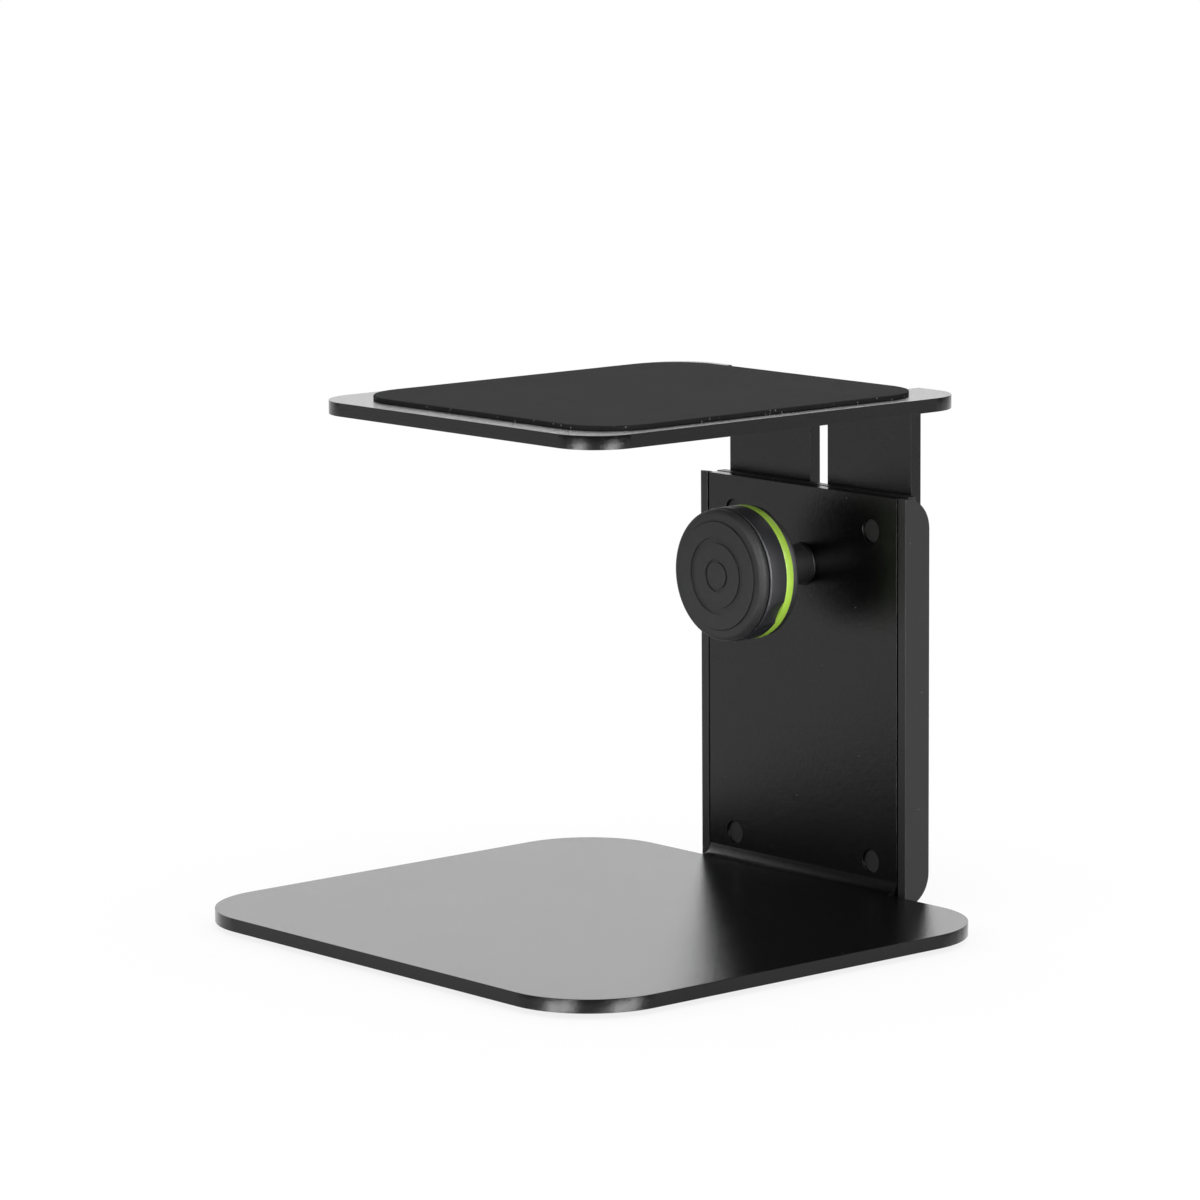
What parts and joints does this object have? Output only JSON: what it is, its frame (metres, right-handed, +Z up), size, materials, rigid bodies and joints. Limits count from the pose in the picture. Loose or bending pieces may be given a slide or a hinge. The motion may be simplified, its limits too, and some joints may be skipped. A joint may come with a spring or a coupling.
{
  "type": "desktop monitor speaker stand",
  "caption": "Desktop stand for a monitor speaker: flat base with an upright plate, and a padded platform on a slotted leg that slides up and down and is clamped by a knob.",
  "frame": {"origin": "on the desk, under the middle of the whole stand, level with the underside of the feet", "axes": "+Z up, along the platform's slide; -Y to the open front; +X to the right seen from the front"},
  "size_m": [0.23, 0.2312, 0.198],
  "materials": {
    "base_coat": "satin black powder coat",
    "channel_coat": "satin black coating",
    "platform_coat": "satin black powder coat",
    "rivet_coat": "satin black",
    "pad_rubber": "matt, finely speckled foam rubber",
    "foot_rubber": "matt",
    "bolt_steel": "bright zinc",
    "washer_black": "black oxide",
    "knob_plastic": "semi-gloss black plastic",
    "grip_plastic": "gloss bluish-black plastic",
    "ring_plastic": "lime green plastic",
    "cap_soft": "soft-touch dark grey",
    "insert_brass": "turned"
  },
  "bodies": {
    "stand": {"base_plate": "base_coat", "foot_front_left": "foot_rubber", "foot_front_right": "foot_rubber", "foot_rear_left": "foot_rubber", "foot_rear_right": "foot_rubber", "guide_channel": "channel_coat", "channel_rivets": "rivet_coat", "clamp_bolt": "bolt_steel", "rear_washer": "washer_black"},
    "platform": {"top_plate": "platform_coat", "platform_pad": "pad_rubber"},
    "washer": {"front_washer": "washer_black"},
    "knob": {"knob_hub": "knob_plastic", "knob_insert": "insert_brass", "knob_ring": "ring_plastic", "knob_grip": "grip_plastic", "knob_cap": "cap_soft"}
  },
  "joints": [
    {"name": "platform_slide", "type": "slide", "parent": "stand", "child": "platform", "axis": [0, 0, 1], "range_m": [-0.032, 0.066]},
    {"name": "knob_travel", "type": "slide", "parent": "stand", "child": "washer", "axis": [0, -1, 0], "range_m": [0, 0.0025]},
    {"name": "knob_turn", "type": "hinge", "parent": "washer", "child": "knob", "pos_m": [0, 0.09335, 0.126], "axis": [0, -1, 0], "range_deg": [0, 720]}
  ],
  "couplings": [
    {"joint": "knob_turn", "follows": "knob_travel", "rad_per_m": 5026.5}
  ]
}
